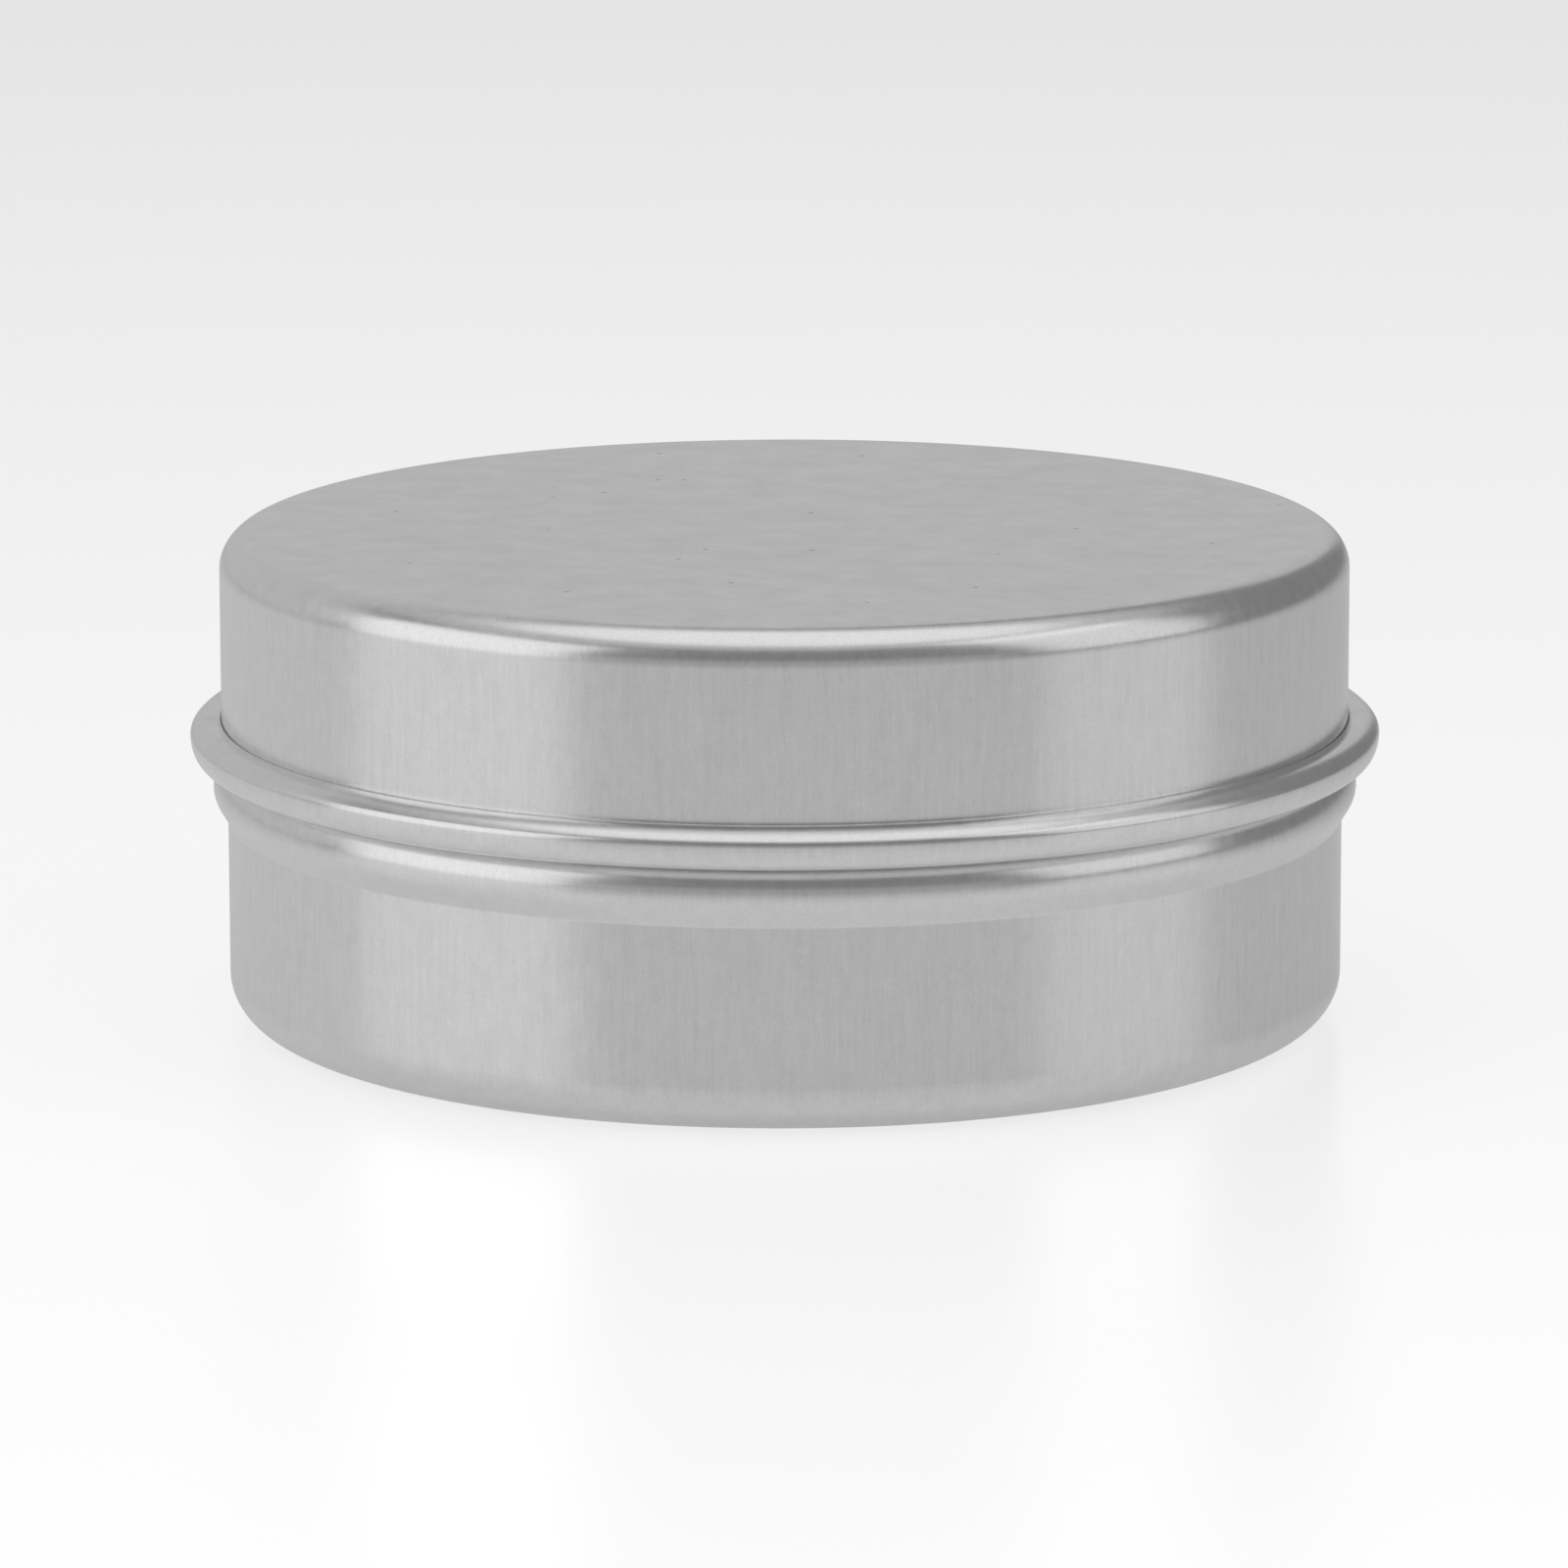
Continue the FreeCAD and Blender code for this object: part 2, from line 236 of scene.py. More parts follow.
@dataclass
class Lid(DrawnShell):
    """The cap: flat top, round corner, plain wall and an edge rolled outwards."""

    side: MetalSide = MetalSide.RIGHT
    corner: float = 2.00 * MM
    curl_width: float = 2.075 * MM
    curl_height: float = 2.34 * MM
    curl_foot: float = 1.00 * MM
    curl_side: float = 2.20 * MM
    curl_shoulder: float = 0.60 * MM
    curl_crown: float = 1.50 * MM
    edge_gap: float = 0.04 * MM

    @property
    def top(self) -> float:
        """Height of the lid's top."""
        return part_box("lid")[1][2]

    @property
    def bottom(self) -> float:
        """Height of the rolled edge's lowest place."""
        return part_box("lid")[0][2]

    @property
    def widest(self) -> float:
        """Outside radius of the rolled edge."""
        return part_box("lid")[1][0]

    @property
    def wall(self) -> float:
        """Outside radius of the lid's wall."""
        return self.widest - self.curl_width + self.metal

    def curl_bends(self) -> list[Bend]:
        """List the rolled edge's four bends, each carrying on from the one before.

        Returns:
            The foot, the outer side, the shoulder and the crown.
        """
        foot_x = self.widest - self.curl_width + self.curl_foot
        foot_z = self.bottom + self.curl_foot
        side_more = self.curl_side - self.curl_foot
        side_turn = acos((self.curl_foot + self.curl_side - self.curl_width) / side_more)
        widest_z = foot_z + side_more * sin(side_turn)
        shoulder_x = self.widest - self.curl_shoulder
        crown_z = self.bottom + self.curl_height - self.curl_crown
        crown_more = self.curl_crown - self.curl_shoulder
        crown_turn = asin((widest_z - crown_z) / crown_more)
        crown_x = shoulder_x - crown_more * cos(crown_turn)
        shut = acos((self.wall + self.edge_gap - crown_x) / self.curl_crown)
        turns = (pi, FULL_TURN - side_turn, FULL_TURN, FULL_TURN + crown_turn, FULL_TURN + shut)
        return [
            Bend(foot_x, foot_z, self.curl_foot - self.metal, *turns[0:2]),
            Bend(self.widest - self.curl_side, widest_z, self.curl_side - self.metal, *turns[1:3]),
            Bend(shoulder_x, widest_z, self.curl_shoulder - self.metal, *turns[2:4]),
            Bend(crown_x, crown_z, self.curl_crown - self.metal, *turns[3:5]),
        ]

    def bends(self) -> list[Bend]:
        """List the top corner and the rolled edge."""
        corner = Bend(self.wall - self.corner, self.top - self.corner, self.corner, pi / 2, 0)
        return [corner] + self.curl_bends()


@dataclass
class TinBody(DrawnShell):
    """The cup: bottom panel, foot ring, wall, stop bead, neck and a rim rolled inwards."""

    bead_stand: float = 0.81 * MM
    bead_drop: float = 1.62 * MM
    bead_upper: float = 2.30 * MM
    bead_lower: float = 1.50 * MM
    bead_flat: float = 1.09 * MM
    bead_root: float = 0.25 * MM
    shoulder: float = 0.13 * MM
    rim_dia: float = 1.80 * MM
    edge_gap: float = 0.04 * MM
    foot_corner: float = 2.70 * MM
    foot_width: float = 2.00 * MM
    panel_rise: float = 0.40 * MM
    panel_bend: float = 1.00 * MM

    def bottom_bends(self, wall: float) -> list[Bend]:
        """List the bends of the bottom: the step from panel to foot ring, and the corner.

        Args:
            wall: Outside radius of the tin's wall.

        Returns:
            The step's two bends and the corner.
        """
        foot_edge = wall - self.foot_corner - self.foot_width
        step_drop = 2 * self.panel_bend - self.panel_rise
        step_run = sqrt((2 * self.panel_bend) ** 2 - step_drop ** 2)
        turn = atan2(step_run, step_drop)
        return [
            Bend(foot_edge - step_run, self.panel_rise - self.panel_bend, self.panel_bend,
                 pi / 2, pi / 2 - turn),
            Bend(foot_edge, self.panel_bend, self.panel_bend, 1.5 * pi - turn, 1.5 * pi),
            Bend(wall - self.foot_corner, self.foot_corner, self.foot_corner, 1.5 * pi, FULL_TURN),
        ]

    def bead_bends(self, wall: float, neck: float, bead: float) -> list[Bend]:
        """List the bends of the stop bead, with a small root bend at each side.

        A straight slope joins the bead's lower bend to its lower root.

        Args:
            wall: Outside radius of the tin's wall.
            neck: Outside radius of the tin's neck.
            bead: Outside radius of the bead.

        Returns:
            The four bends from the wall up to the neck.
        """
        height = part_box("lid")[0][2] - self.bead_drop
        lower_round = self.bead_root + self.bead_lower
        reach = sqrt(lower_round ** 2 + self.bead_flat ** 2)
        lower_turn = acos((lower_round - self.bead_stand) / reach) - atan2(self.bead_flat, lower_round)
        drop = lower_round * sin(lower_turn) + self.bead_flat * cos(lower_turn)
        lower_root = Bend(wall + self.bead_root, height - drop, self.bead_root, pi, pi - lower_turn)
        aside = neck + self.bead_root - (bead - self.bead_upper)
        climb = sqrt((self.bead_root + self.bead_upper) ** 2 - aside ** 2)
        upper_turn = atan2(climb, aside)
        upper_root = Bend(neck + self.bead_root, height + climb, self.bead_root, pi + upper_turn, pi)
        return [
            lower_root,
            Bend(bead - self.bead_lower, height, self.bead_lower, -lower_turn, 0),
            Bend(bead - self.bead_upper, height, self.bead_upper, 0, upper_turn),
            upper_root,
        ]

    def bends(self) -> list[Bend]:
        """List every bend from the bottom panel to the rolled rim.

        Returns:
            The bends in order, from one end of the outline to the other.
        """
        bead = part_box("tin_body")[1][0]
        wall = bead - self.bead_stand
        neck = wall - self.shoulder
        roll = self.rim_dia / 2
        shut = acos((roll - self.metal - self.edge_gap) / roll)
        rim = Bend(neck - roll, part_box("tin_body")[1][2] - roll, roll, 0, FULL_TURN - shut)
        return self.bottom_bends(wall) + self.bead_bends(wall, neck, bead) + [rim]


# ---------------------------------------------------------------- finishes


class SocketKind(Enum):
    """What a socket of a node group carries."""

    VALUE = "NodeSocketFloat"
    VECTOR = "NodeSocketVector"


@dataclass
class NodeSheet:
    """Adds and joins nodes in one node tree, from left to right."""

    tree: bpy.types.NodeTree
    column: float = 0.0
    column_width: float = 190.0

    def add(self, kind: str, label: str, **settings: object) -> bpy.types.Node:
        """Add a node to the right of the last one.

        Args:
            kind: The node's type name.
            label: What the node is for.
            settings: Properties to set on the node.

        Returns:
            The new node.
        """
        node = self.tree.nodes.new(kind)
        node.label = label
        node.location = (self.column, 0)
        self.column += self.column_width
        for name, value in settings.items():
            setattr(node, name, value)
        return node

    def feed(self, target: bpy.types.NodeSocket, value: object) -> None:
        """Join a socket to an input, or set the input's own value.

        Args:
            target: The input to feed.
            value: An output socket, a number or a tuple of numbers.
        """
        if isinstance(value, bpy.types.NodeSocket):
            self.tree.links.new(value, target)
        else:
            target.default_value = value

    def math(self, label: str, operation: str, *values: object) -> bpy.types.NodeSocket:
        """Add a Math node.

        Args:
            label: What the result is.
            operation: The operation's name.
            values: The operands, as sockets or numbers.

        Returns:
            The result.
        """
        node = self.add("ShaderNodeMath", label, operation=operation)
        for socket, value in zip(node.inputs, values):
            self.feed(socket, value)
        return node.outputs["Value"]

    def vector(self, label: str, operation: str, *values: object) -> bpy.types.Node:
        """Add a Vector Math node.

        Args:
            label: What the result is.
            operation: The operation's name.
            values: The operands, as sockets or tuples.

        Returns:
            The node, with its Vector and Value outputs.
        """
        node = self.add("ShaderNodeVectorMath", label, operation=operation)
        for socket, value in zip(node.inputs, values):
            self.feed(socket, value)
        return node

    def spread(self, label: str, value: bpy.types.NodeSocket, low: float, high: float,
               out: tuple[float, float] = (0.0, 1.0), smooth: bool = False) -> bpy.types.NodeSocket:
        """Spread a range of a value over another range, and keep it within that.

        Args:
            label: What the result is.
            value: The value to spread.
            low: The value that becomes the first of out.
            high: The value that becomes the second of out.
            out: The range of the result.
            smooth: True eases the result in and out.

        Returns:
            The result.
        """
        easing = "SMOOTHSTEP" if smooth else "LINEAR"
        node = self.add("ShaderNodeMapRange", label, interpolation_type=easing)
        settings = {"Value": value, "From Min": low, "From Max": high, "To Min": out[0], "To Max": out[1]}
        for name, setting in settings.items():
            self.feed(node.inputs[name], setting)
        return node.outputs["Result"]

    def swing(self, pattern: bpy.types.NodeSocket, reach: float) -> bpy.types.NodeSocket:
        """Swing a pattern evenly to either side of nothing.

        Args:
            pattern: A pattern from 0 to 1.
            reach: How far the result goes to either side.

        Returns:
            The swing.
        """
        return self.spread("swing", pattern, 0.0, 1.0, (-reach, reach))

    def total(self, label: str, *values: object) -> bpy.types.NodeSocket:
        """Add several values up.

        Args:
            label: What the sum is.
            values: Sockets or numbers.

        Returns:
            Their sum.
        """
        result = values[0]
        for value in values[1:]:
            result = self.math(label, "ADD", result, value)
        return result

    def grey_colour(self, grey: bpy.types.NodeSocket) -> bpy.types.NodeSocket:
        """Give a grey as a colour.

        Args:
            grey: The brightness.

        Returns:
            The colour's socket.
        """
        colour = self.add("ShaderNodeCombineColor", "grey as a colour")
        for name in ("Red", "Green", "Blue"):
            self.feed(colour.inputs[name], grey)
        return colour.outputs["Color"]

    def noise(self, label: str, place: bpy.types.NodeSocket, detail: float,
              roughness: float = 0.5) -> bpy.types.NodeSocket:
        """Add a Noise Texture with one cell to a unit of its place.

        Args:
            label: What the pattern stands for.
            place: Where the pattern is read.
            detail: Number of finer layers.
            roughness: Share of each finer layer.

        Returns:
            The pattern, about a half.
        """
        node = self.add("ShaderNodeTexNoise", label)
        settings = {"Vector": place, "Scale": 1.0, "Detail": detail, "Roughness": roughness}
        for name, setting in settings.items():
            self.feed(node.inputs[name], setting)
        return node.outputs["Fac"]


@dataclass(frozen=True)
class SurfaceEffect:
    """A look that several metals share, kept as one node group."""

    group_name: str

    def inputs(self) -> dict[str, SocketKind]:
        """Name the group's inputs."""
        return {"Position": SocketKind.VECTOR}

    def outputs(self) -> list[str]:
        """Name the group's outputs."""
        raise NotImplementedError

    def draw(self, sheet: NodeSheet, given: bpy.types.NodeInputs, result: bpy.types.NodeOutputs) -> None:
        """Draw the nodes between the group's inputs and its outputs.

        Args:
            sheet: The group's node sheet.
            given: The group's input sockets.
            result: The sockets that take the group's results.
        """
        raise NotImplementedError

    def group(self) -> bpy.types.NodeTree:
        """Give the node group, built the first time that it is asked for.

        Returns:
            The node group, which is built the first time only.
        """
        tree = bpy.data.node_groups.get(self.group_name)
        if tree is None:
            tree = bpy.data.node_groups.new(self.group_name, "ShaderNodeTree")
            for name, kind in self.inputs().items():
                tree.interface.new_socket(name, in_out="INPUT", socket_type=kind.value)
            for name in self.outputs():
                tree.interface.new_socket(name, in_out="OUTPUT", socket_type=SocketKind.VALUE.value)
            sheet = NodeSheet(tree)
            given = sheet.add("NodeGroupInput", "given").outputs
            result = sheet.add("NodeGroupOutput", "result").inputs
            self.draw(sheet, given, result)
        return tree

    def put(self, sheet: NodeSheet, **values: object) -> bpy.types.NodeOutputs:
        """Put the group into a material.

        Args:
            sheet: The material's node sheet.
            values: What each input gets; an underscore stands for a space.

        Returns:
            The group's outputs.
        """
        node = sheet.add("ShaderNodeGroup", self.group_name, node_tree=self.group())
        for name, value in values.items():
            sheet.feed(node.inputs[name.replace("_", " ")], value)
        return node.outputs


@dataclass(frozen=True)
class SurfaceLie(SurfaceEffect):
    """Tells the level parts of a pressing from its upright walls and its bends.

    The tilts are the share of the surface's facing that points up or down.
    """

    group_name: str = "surface_lie"
    level_tilts: tuple[float, float] = (0.90, 0.995)
    upright_tilts: tuple[float, float] = (0.10, 0.60)

    def inputs(self) -> dict[str, SocketKind]:
        """Name the group's inputs."""
        return {"Facing": SocketKind.VECTOR}

    def outputs(self) -> list[str]:
        """Name the group's outputs."""
        return ["Level", "Upright", "Bent"]

    def draw(self, sheet: NodeSheet, given: bpy.types.NodeInputs, result: bpy.types.NodeOutputs) -> None:
        """Read how far the surface faces up or down.

        Args:
            sheet: The group's own node sheet.
            given: The group's inputs.
            result: The group's outputs.
        """
        parts = sheet.add("ShaderNodeSeparateXYZ", "parts of the facing")
        sheet.feed(parts.inputs["Vector"], given["Facing"])
        tilt = sheet.math("share that faces up or down", "ABSOLUTE", parts.outputs["Z"])
        level = sheet.spread("level", tilt, *self.level_tilts, smooth=True)
        upright = sheet.spread("upright", tilt, *self.upright_tilts, (1.0, 0.0), smooth=True)
        flat = sheet.math("level or upright", "ADD", level, upright)
        sheet.feed(result["Level"], level)
        sheet.feed(result["Upright"], upright)
        sheet.feed(result["Bent"], sheet.math("neither", "SUBTRACT", 1.0, flat))


@dataclass(frozen=True)
class DrawLines(SurfaceEffect):
    """Fine lines down a wall, left where the sheet slid through the drawing die."""

    group_name: str = "draw_lines"
    fineness: tuple[float, float] = (1.0, 3.1)
    detail: float = 2.0
    sum_range: tuple[float, float] = (0.65, 1.35)

    def inputs(self) -> dict[str, SocketKind]:
        """Name the group's inputs."""
        return {"Position": SocketKind.VECTOR, "Spacing": SocketKind.VALUE, "Length": SocketKind.VALUE}

    def outputs(self) -> list[str]:
        """Name the group's outputs."""
        return ["Lines"]

    def draw(self, sheet: NodeSheet, given: bpy.types.NodeInputs, result: bpy.types.NodeOutputs) -> None:
        """Stretch two layers of noise along the axis.

        Args:
            sheet: The group's own node sheet.
            given: The group's inputs.
            result: The group's outputs.
        """
        layers = []
        for label, finer in zip(("broad lines", "fine lines"), self.fineness):
            across = sheet.math(label + " to a metre", "DIVIDE", finer, given["Spacing"])
            along = sheet.math(label + " end to end", "DIVIDE", finer, given["Length"])
            pace = sheet.add("ShaderNodeCombineXYZ", "pace of the " + label)
            for name, value in (("X", across), ("Y", across), ("Z", along)):
                sheet.feed(pace.inputs[name], value)
            place = sheet.vector(
                "place in the " + label, "MULTIPLY", given["Position"], pace.outputs["Vector"])
            layers.append(sheet.noise(label, place.outputs["Vector"], self.detail))
        both = sheet.math("both layers", "ADD", *layers)
        sheet.feed(result["Lines"], sheet.spread("lines", both, *self.sum_range))


@dataclass(frozen=True)
class Clouding(SurfaceEffect):
    """Soft patches of a slightly different satin, from handling and from the rolled sheet."""

    group_name: str = "metal_clouds"
    cloud_detail: float = 4.0
    grain_fineness: float = 7.0
    grain_detail: float = 2.0
    noise_range: tuple[float, float] = (0.30, 0.70)

    def inputs(self) -> dict[str, SocketKind]:
        """Name the group's inputs."""
        return {"Position": SocketKind.VECTOR, "Size": SocketKind.VALUE}

    def outputs(self) -> list[str]:
        """Name the group's outputs."""
        return ["Clouds", "Grain"]

    def draw(self, sheet: NodeSheet, given: bpy.types.NodeInputs, result: bpy.types.NodeOutputs) -> None:
        """Lay wide patches and a fine grain.

        Args:
            sheet: The group's own node sheet.
            given: The group's inputs.
            result: The group's outputs.
        """
        layers = (("Clouds", 1.0, self.cloud_detail), ("Grain", self.grain_fineness, self.grain_detail))
        for name, finer, detail in layers:
            pace = sheet.math(name.lower() + " to a metre", "DIVIDE", finer, given["Size"])
            place = sheet.vector("place in the " + name.lower(), "SCALE", given["Position"])
            sheet.feed(place.inputs["Scale"], pace)
            pattern = sheet.noise(name.lower(), place.outputs["Vector"], detail)
            sheet.feed(result[name], sheet.spread(name.lower() + " spread", pattern, *self.noise_range))


@dataclass(frozen=True)
class Hairlines(SurfaceEffect):
    """Sparse hairline scratches, each where a random plane through a random spot cuts the surface.

    The taper is where a line starts to thin and where it ends, as shares of its room.
    """

    group_name: str = "hairline_scratches"
    taper: tuple[float, float] = (0.20, 0.50)
    full_depth: float = 0.8

    def inputs(self) -> dict[str, SocketKind]:
        """Name the group's inputs.

        Returns:
            What each input carries, by its name.
        """
        return {
            "Position": SocketKind.VECTOR,
            "Room": SocketKind.VALUE,
            "Width": SocketKind.VALUE,
            "Share": SocketKind.VALUE,
        }

    def outputs(self) -> list[str]:
        """Name the group's outputs."""
        return ["Scratches"]

    def draw(self, sheet: NodeSheet, given: bpy.types.NodeInputs, result: bpy.types.NodeOutputs) -> None:
        """Thin the planes to lines, taper their ends and keep a share of them.

        Args:
            sheet: The group's own node sheet.
            given: The group's inputs.
            result: The group's outputs.
        """
        spots = sheet.add("ShaderNodeTexVoronoi", "one spot to a room")
        sheet.feed(spots.inputs["Vector"], given["Position"])
        sheet.feed(spots.inputs["Scale"], sheet.math("rooms to a metre", "DIVIDE", 1.0, given["Room"]))
        away = sheet.vector("away from the spot", "SUBTRACT", given["Position"], spots.outputs["Position"])
        leaning = sheet.vector("leaning", "SUBTRACT", spots.outputs["Color"], (0.5, 0.5, 0.5))
        facing = sheet.vector("plane's facing", "NORMALIZE", leaning.outputs["Vector"])
        off = sheet.vector(
            "height off the plane", "DOT_PRODUCT", away.outputs["Vector"], facing.outputs["Vector"])
        off_size = sheet.math("distance off the plane", "ABSOLUTE", off.outputs["Value"])
        run = sheet.vector("run from the spot", "LENGTH", away.outputs["Vector"])
        run_share = sheet.math("run as a share of the room", "DIVIDE", run.outputs["Value"], given["Room"])
        taper = sheet.spread("taper", run_share, *self.taper, (1.0, 0.0), smooth=True)
        reach = sheet.math("half width here", "MULTIPLY", given["Width"], taper)
        inside = sheet.math("depth in the line", "SUBTRACT", reach, off_size)
        line = sheet.math("line", "DIVIDE", inside, given["Width"])
        parts = sheet.add("ShaderNodeSeparateColor", "parts of the spot's draw")
        sheet.feed(parts.inputs["Color"], spots.outputs["Color"])
        kept = sheet.math("kept spots", "LESS_THAN", parts.outputs["Blue"], given["Share"])
        scratches = sheet.math("kept lines", "MULTIPLY", line, kept)
        sheet.feed(result["Scratches"], sheet.spread("scratches", scratches, 0.0, self.full_depth))


@dataclass(frozen=True)
class Specks(SurfaceEffect):
    """A few tiny dark specks pressed into the sheet.

    The edge is where a speck starts to fade and where it ends, as shares of its size.
    """

    group_name: str = "dark_specks"
    edge: tuple[float, float] = (0.3, 0.6)

    def inputs(self) -> dict[str, SocketKind]:
        """Name the group's inputs.

        Returns:
            What each input carries, by its name.
        """
        return {
            "Position": SocketKind.VECTOR,
            "Room": SocketKind.VALUE,
            "Size": SocketKind.VALUE,
            "Share": SocketKind.VALUE,
        }

    def outputs(self) -> list[str]:
        """Name the group's outputs."""
        return ["Specks"]

    def draw(self, sheet: NodeSheet, given: bpy.types.NodeInputs, result: bpy.types.NodeOutputs) -> None:
        """Keep the surroundings of a share of the random spots.

        Args:
            sheet: The group's own node sheet.
            given: The group's inputs.
            result: The group's outputs.
        """
        spots = sheet.add("ShaderNodeTexVoronoi", "one spot to a room")
        sheet.feed(spots.inputs["Vector"], given["Position"])
        sheet.feed(spots.inputs["Scale"], sheet.math("rooms to a metre", "DIVIDE", 1.0, given["Room"]))
        away = sheet.vector("away from the spot", "DISTANCE", given["Position"], spots.outputs["Position"])
        near = sheet.math("away in sizes", "DIVIDE", away.outputs["Value"], given["Size"])
        dot = sheet.spread("dot", near, *self.edge, (1.0, 0.0), smooth=True)
        parts = sheet.add("ShaderNodeSeparateColor", "parts of the spot's draw")
        sheet.feed(parts.inputs["Color"], spots.outputs["Color"])
        kept = sheet.math("kept spots", "LESS_THAN", parts.outputs["Red"], given["Share"])
        sheet.feed(result["Specks"], sheet.math("kept dots", "MULTIPLY", dot, kept))


@dataclass(frozen=True)
class SatinAluminium:
    """Bare drawn aluminium with a satin skin that handling has marked a little.

    Swings of grey and roughness are to either side of the plain value, and heights are in microns.
    """

    name: str
    grey: float = 0.85
    roughness: float = 0.23
    bend_roughness: float = 0.02
    cloud_size: float = 0.9 * MM
    cloud_grey: float = 0.022
    grain_grey: float = 0.030
    cloud_roughness: float = 0.02
    cloud_height: float = 0.35
    level_cloud_size: float = 2.6 * MM
    level_cloud_grey: float = 0.048
    line_spacing: float = 0.32 * MM
    line_length: float = 4.5 * MM
    line_grey: float = 0.036
    line_height: float = 0.35
    scratch_room: float = 7.0 * MM
    scratch_width: float = 0.030 * MM
    scratch_share: float = 0.35
    scratch_grey: float = 0.05
    scratch_height: float = 0.5
    scratch_roughness: float = 0.06
    speck_room: float = 1.5 * MM
    speck_size: float = 0.34 * MM
    speck_share: float = 0.10
    speck_grey: float = 0.45

    def make(self) -> bpy.types.Material:
        """Build the material.

        Returns:
            The finished material.
        """
        material = bpy.data.materials.new(self.name)
        material.use_nodes = True
        sheet = NodeSheet(material.node_tree, column=-4000)
        shader = material.node_tree.nodes["Principled BSDF"]
        shader.inputs["Metallic"].default_value = 1.0
        place = sheet.add("ShaderNodeTexCoord", "place on the piece").outputs
        spot = place["Object"]
        lie = SurfaceLie().put(sheet, Facing=place["Normal"])
        clouding = Clouding().put(sheet, Position=spot, Size=self.cloud_size)
        wide_clouds = Clouding().put(sheet, Position=spot, Size=self.level_cloud_size)["Clouds"]
        lines = DrawLines().put(sheet, Position=spot, Spacing=self.line_spacing, Length=self.line_length)
        scratches = Hairlines().put(
            sheet, Position=spot, Room=self.scratch_room, Width=self.scratch_width,
            Share=self.scratch_share)["Scratches"]
        specks = Specks().put(
            sheet, Position=spot, Room=self.speck_room, Size=self.speck_size,
            Share=self.speck_share)["Specks"]
        wall_lines = sheet.math(
            "lines on the walls", "MULTIPLY", sheet.swing(lines["Lines"], 1.0), lie["Upright"])
        wide_swing = sheet.swing(wide_clouds, self.level_cloud_grey)
        level_clouds = sheet.math("clouds on the flats", "MULTIPLY", wide_swing, lie["Level"])
        level_specks = sheet.math("specks on the flats", "MULTIPLY", specks, lie["Level"])

        grey = sheet.total(
            "grey",
            self.grey,
            sheet.swing(clouding["Clouds"], self.cloud_grey),
            sheet.swing(clouding["Grain"], self.grain_grey),
            level_clouds,
            sheet.math("grey of the lines", "MULTIPLY", wall_lines, self.line_grey),
            sheet.math("grey of the scratches", "MULTIPLY", scratches, self.scratch_grey),
            sheet.math("grey of the specks", "MULTIPLY", level_specks, -self.speck_grey),
        )
        sheet.feed(shader.inputs["Base Color"], sheet.grey_colour(grey))

        roughness = sheet.total(
            "roughness",
            self.roughness,
            sheet.swing(clouding["Clouds"], self.cloud_roughness),
            sheet.math("roughness of the bends", "MULTIPLY", lie["Bent"], self.bend_roughness),
            sheet.math("roughness of the scratches", "MULTIPLY", scratches, self.scratch_roughness),
        )
        sheet.feed(shader.inputs["Roughness"], roughness)

        height = sheet.total(
            "height in microns",
            sheet.swing(clouding["Clouds"], self.cloud_height),
            sheet.math("height of the lines", "MULTIPLY", wall_lines, self.line_height),
            sheet.math("depth of the scratches", "MULTIPLY", scratches, -self.scratch_height),
        )
        bump = sheet.add("ShaderNodeBump", "relief")
        sheet.feed(bump.inputs["Distance"], MICRON)
        sheet.feed(bump.inputs["Height"], height)
        sheet.feed(shader.inputs["Normal"], bump.outputs["Normal"])
        return material


# ---------------------------------------------------------------- studio


@dataclass(frozen=True)
class ViewPoint:
    """The camera: a long lens a little above the tin."""

    distance: float = 0.5412
    elevation: float = radians(11.63)
    roll: float = radians(-0.12)
    aim_aside: float = -0.05 * MM
    aim_height: float = 13.10 * MM
    lens: float = 216.9
    sensor: float = 36.0

    def place(self) -> bpy.types.Object:
        """Add the camera and make it the scene's own.

        Returns:
            The camera.
        """
        camera = bpy.data.objects.new("camera", bpy.data.cameras.new("camera"))
        bpy.context.collection.objects.link(camera)
        aim = Vector((self.aim_aside, 0, self.aim_height))
        back = Vector((0, -cos(self.elevation), sin(self.elevation)))
        camera.location = aim + self.distance * back
        turn = back.to_track_quat("Z", "Y").to_matrix() @ Matrix.Rotation(self.roll, 3, "Z")
        camera.rotation_euler = turn.to_euler()
        camera.data.lens = self.lens
        camera.data.sensor_width = self.sensor
        camera.data.clip_start = 10 * MM
        bpy.context.scene.camera = camera
        return camera


class LampShape(Enum):
    """Outline of a softbox."""

    OBLONG = "RECTANGLE"
    ROUND = "DISK"


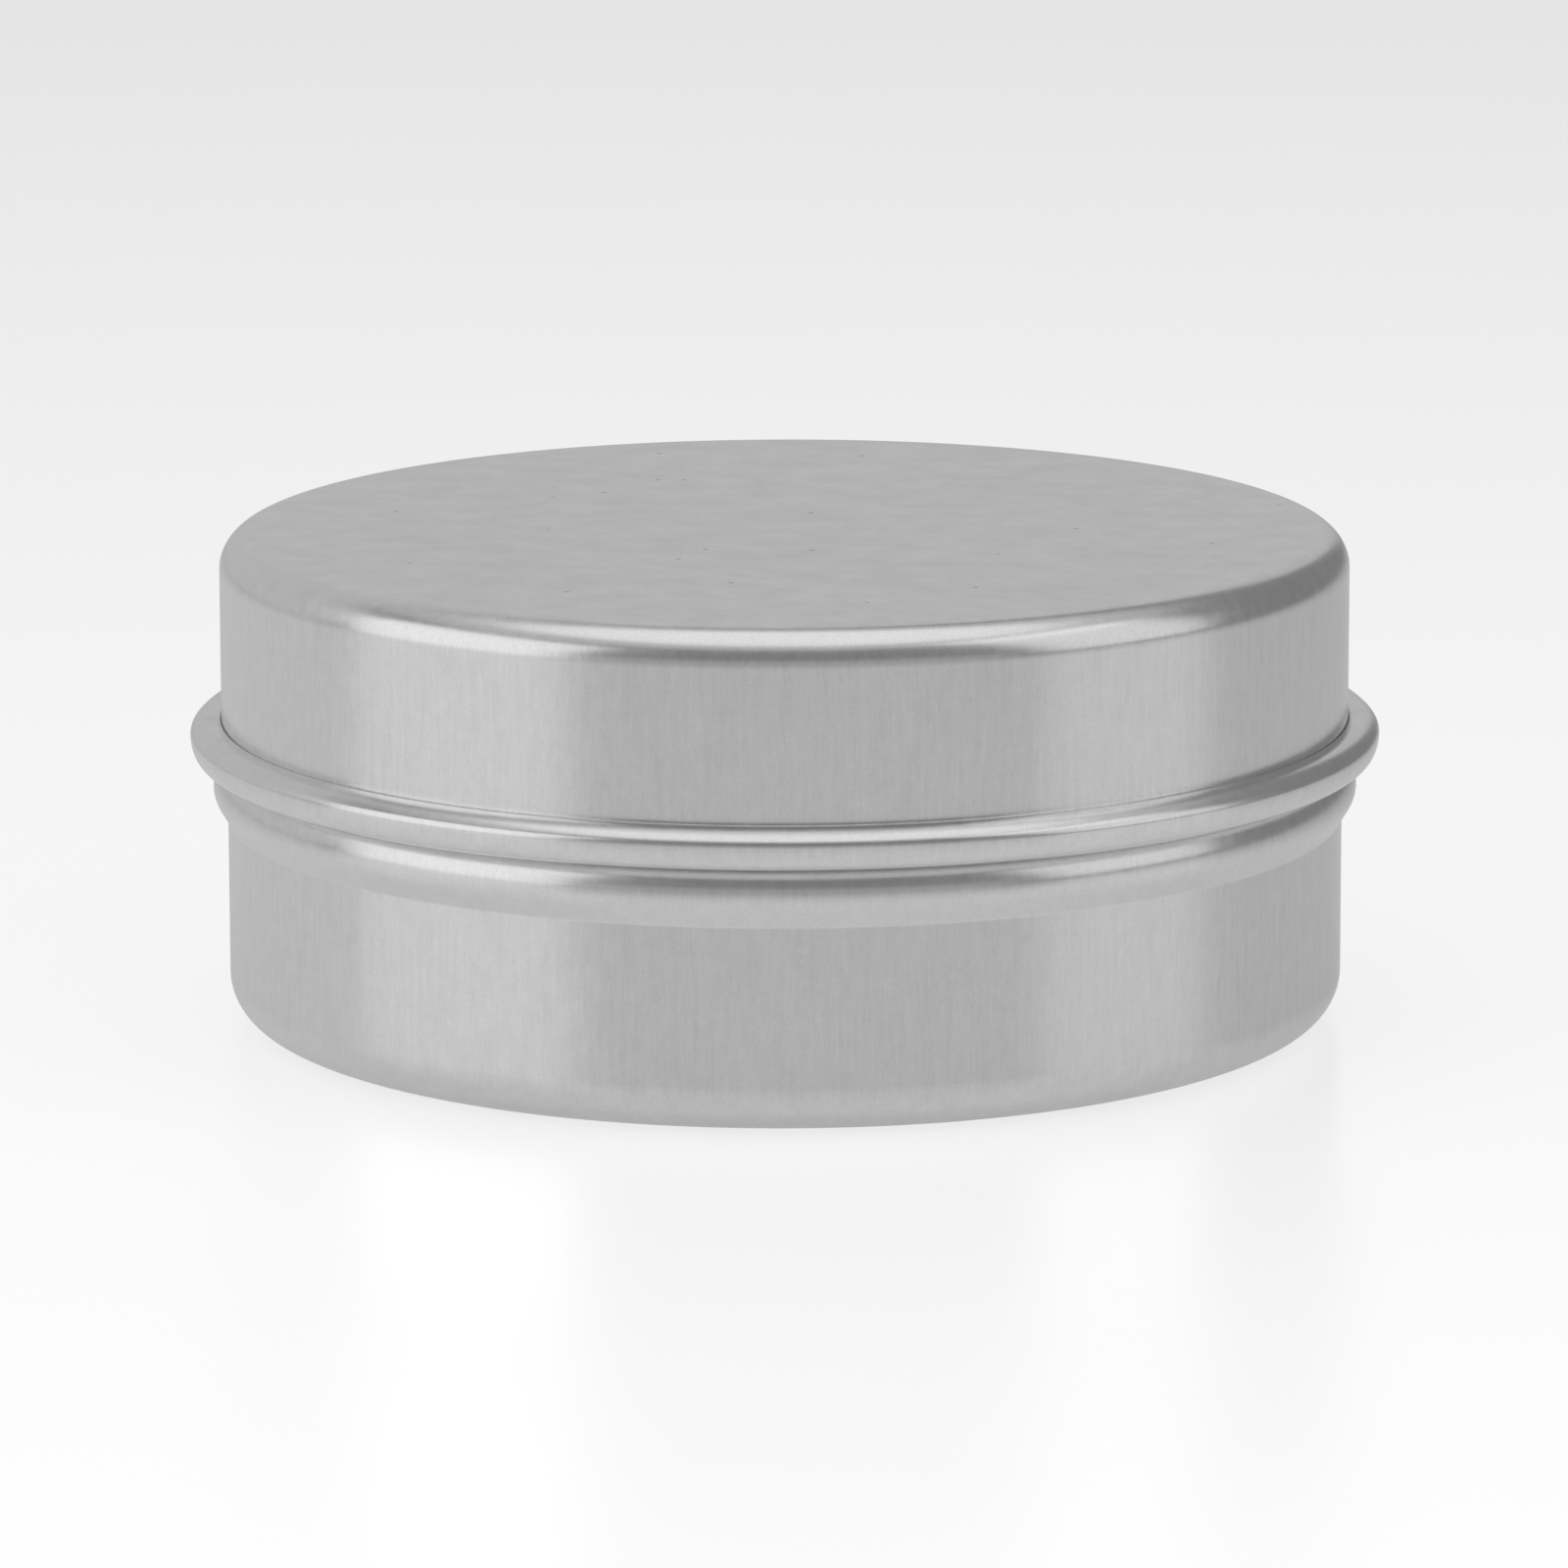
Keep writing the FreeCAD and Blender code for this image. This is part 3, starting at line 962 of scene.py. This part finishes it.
@dataclass(frozen=True)
class Softbox:
    """A flat lamp that faces the tin.

    The azimuth runs from the camera's side towards the right. Width and height are the angles that
    the lamp takes up as seen from the tin, and the radiance is that of its front.
    """

    name: str
    azimuth: float
    elevation: float
    width: float
    height: float
    radiance: float
    shape: LampShape = LampShape.OBLONG
    distance: float = 1.5

    def hang(self) -> bpy.types.Object:
        """Hang the lamp in its place.

        Returns:
            The lamp.
        """
        rise = radians(self.elevation)
        aside = radians(self.azimuth)
        towards = Vector((sin(aside) * cos(rise), -cos(aside) * cos(rise), sin(rise)))
        lamp = bpy.data.lights.new(self.name, "AREA")
        lamp.shape = self.shape.value
        lamp.size = 2 * self.distance * tan(radians(self.width / 2))
        lamp.size_y = 2 * self.distance * tan(radians(self.height / 2))
        area = lamp.size * lamp.size_y
        if self.shape is LampShape.ROUND:
            area = pi / 4 * lamp.size ** 2
        else:
            lamp.size *= cos(rise)
            area *= cos(rise)
        lamp.energy = self.radiance * pi * area
        holder = bpy.data.objects.new(self.name, lamp)
        bpy.context.collection.objects.link(holder)
        holder.location = self.distance * towards
        holder.rotation_euler = towards.to_track_quat("Z", "Y").to_euler()
        holder.visible_camera = False
        return holder


@dataclass(frozen=True)
class LightTable:
    """Pale, faintly glossy acrylic, lit from beneath."""

    name: str = "table_acrylic"
    grey: float = 0.50
    mottle: float = 0.004
    mottle_size: float = 30 * MM
    roughness: float = 0.25
    glow: float = 0.33
    seen_glow: float = 0.86
    refraction: float = 1.5

    def make(self) -> bpy.types.Material:
        """Build the material, which lets less of its glow out at a low angle.

        The table shows whiter than it lights the metal, as it does when it is exposed to burn out.

        Returns:
            The finished material.
        """
        material = bpy.data.materials.new(self.name)
        material.use_nodes = True
        sheet = NodeSheet(material.node_tree, column=-1500)
        shader = material.node_tree.nodes["Principled BSDF"]
        shader.inputs["Roughness"].default_value = self.roughness
        spot = sheet.add("ShaderNodeTexCoord", "place on the table").outputs["Object"]
        mottle = Clouding().put(sheet, Position=spot, Size=self.mottle_size)["Clouds"]
        grey = sheet.spread("grey", mottle, 0.0, 1.0, (self.grey - self.mottle, self.grey + self.mottle))
        sheet.feed(shader.inputs["Base Color"], sheet.grey_colour(grey))
        kept_in = sheet.add("ShaderNodeFresnel", "share kept in")
        kept_in.inputs["IOR"].default_value = self.refraction
        let_out = sheet.math("share let out", "SUBTRACT", 1.0, kept_in.outputs["Fac"])
        seen = sheet.add("ShaderNodeLightPath", "seen straight on").outputs["Is Camera Ray"]
        strength = sheet.spread("strength", seen, 0.0, 1.0, (self.glow, self.seen_glow))
        shader.inputs["Emission Color"].default_value = (1, 1, 1, 1)
        sheet.feed(shader.inputs["Emission Strength"], sheet.math("glow", "MULTIPLY", let_out, strength))
        return material


@dataclass(frozen=True)
class Studio:
    """A pale table under soft light from overhead, from four sides and from the air."""

    floor_size: float = 6.0
    air: float = 0.21
    lamps: tuple[Softbox, ...] = (
        Softbox("overhead_softbox", 0, 90, 59, 59, 0.40, LampShape.ROUND),
        Softbox("overhead_spill", 0, 90, 87, 87, 0.25, LampShape.ROUND, distance=1.6),
        Softbox("left_softbox", 290, 19, 55, 48, 0.73),
        Softbox("right_softbox", 73, 30, 48, 52, 0.53),
        Softbox("back_softbox", 211, 21, 100, 48, 0.29),
        Softbox("front_softbox", 0, 6, 90, 17, 0.14),
    )

    def lay_floor(self) -> bpy.types.Object:
        """Lay the floor under the tin.

        Returns:
            The floor.
        """
        bpy.ops.object.select_all(action="DESELECT")
        bpy.ops.mesh.primitive_plane_add(size=self.floor_size, location=(0, 0, 0))
        floor = bpy.context.object
        floor.name = "studio_floor"
        floor.data.materials.append(LightTable().make())
        return floor

    def fill_air(self) -> None:
        """Fill the air with an even glow, and show greys as they are."""
        world = bpy.data.worlds.new("studio_air")
        world.use_nodes = True
        world.node_tree.nodes["Background"].inputs["Color"].default_value = (self.air,) * 3 + (1,)
        bpy.context.scene.world = world
        bpy.context.scene.view_settings.view_transform = "Standard"

    def set_up(self) -> None:
        """Set up the floor, the air and the lamps."""
        self.lay_floor()
        self.fill_air()
        for lamp in self.lamps:
            lamp.hang()


# ---------------------------------------------------------------- making


@dataclass(frozen=True)
class Pressing:
    """One pressed piece: its shell, its metal and its places in the frame."""

    shell: DrawnShell
    metal: SatinAluminium
    piece_name: str
    body: str
    node: str

    def make(self) -> bpy.types.Object:
        """Model the piece, dress it and set it in the frame.

        Returns:
            The finished piece.
        """
        piece = self.shell.build(self.piece_name)
        piece.data.materials.append(self.metal.make())
        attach(piece, self.body)
        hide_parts(self.node)
        faces = len(piece.data.polygons)
        LOG.info("%s rides %s: %d faces in %s", piece.name, self.body, faces, self.metal.name)
        return piece


def main() -> None:
    """Make the tin and its lid, then the studio."""
    logging.basicConfig(level=logging.INFO, format="%(message)s")
    Pressing(TinBody(), SatinAluminium("tin_metal"), "tin_shell", "tin", "tin_body").make()
    Pressing(Lid(), SatinAluminium("lid_metal"), "lid_shell", "cap", "lid").make()
    Studio().set_up()
    ViewPoint().place()


if __name__ == "__main__":
    main()
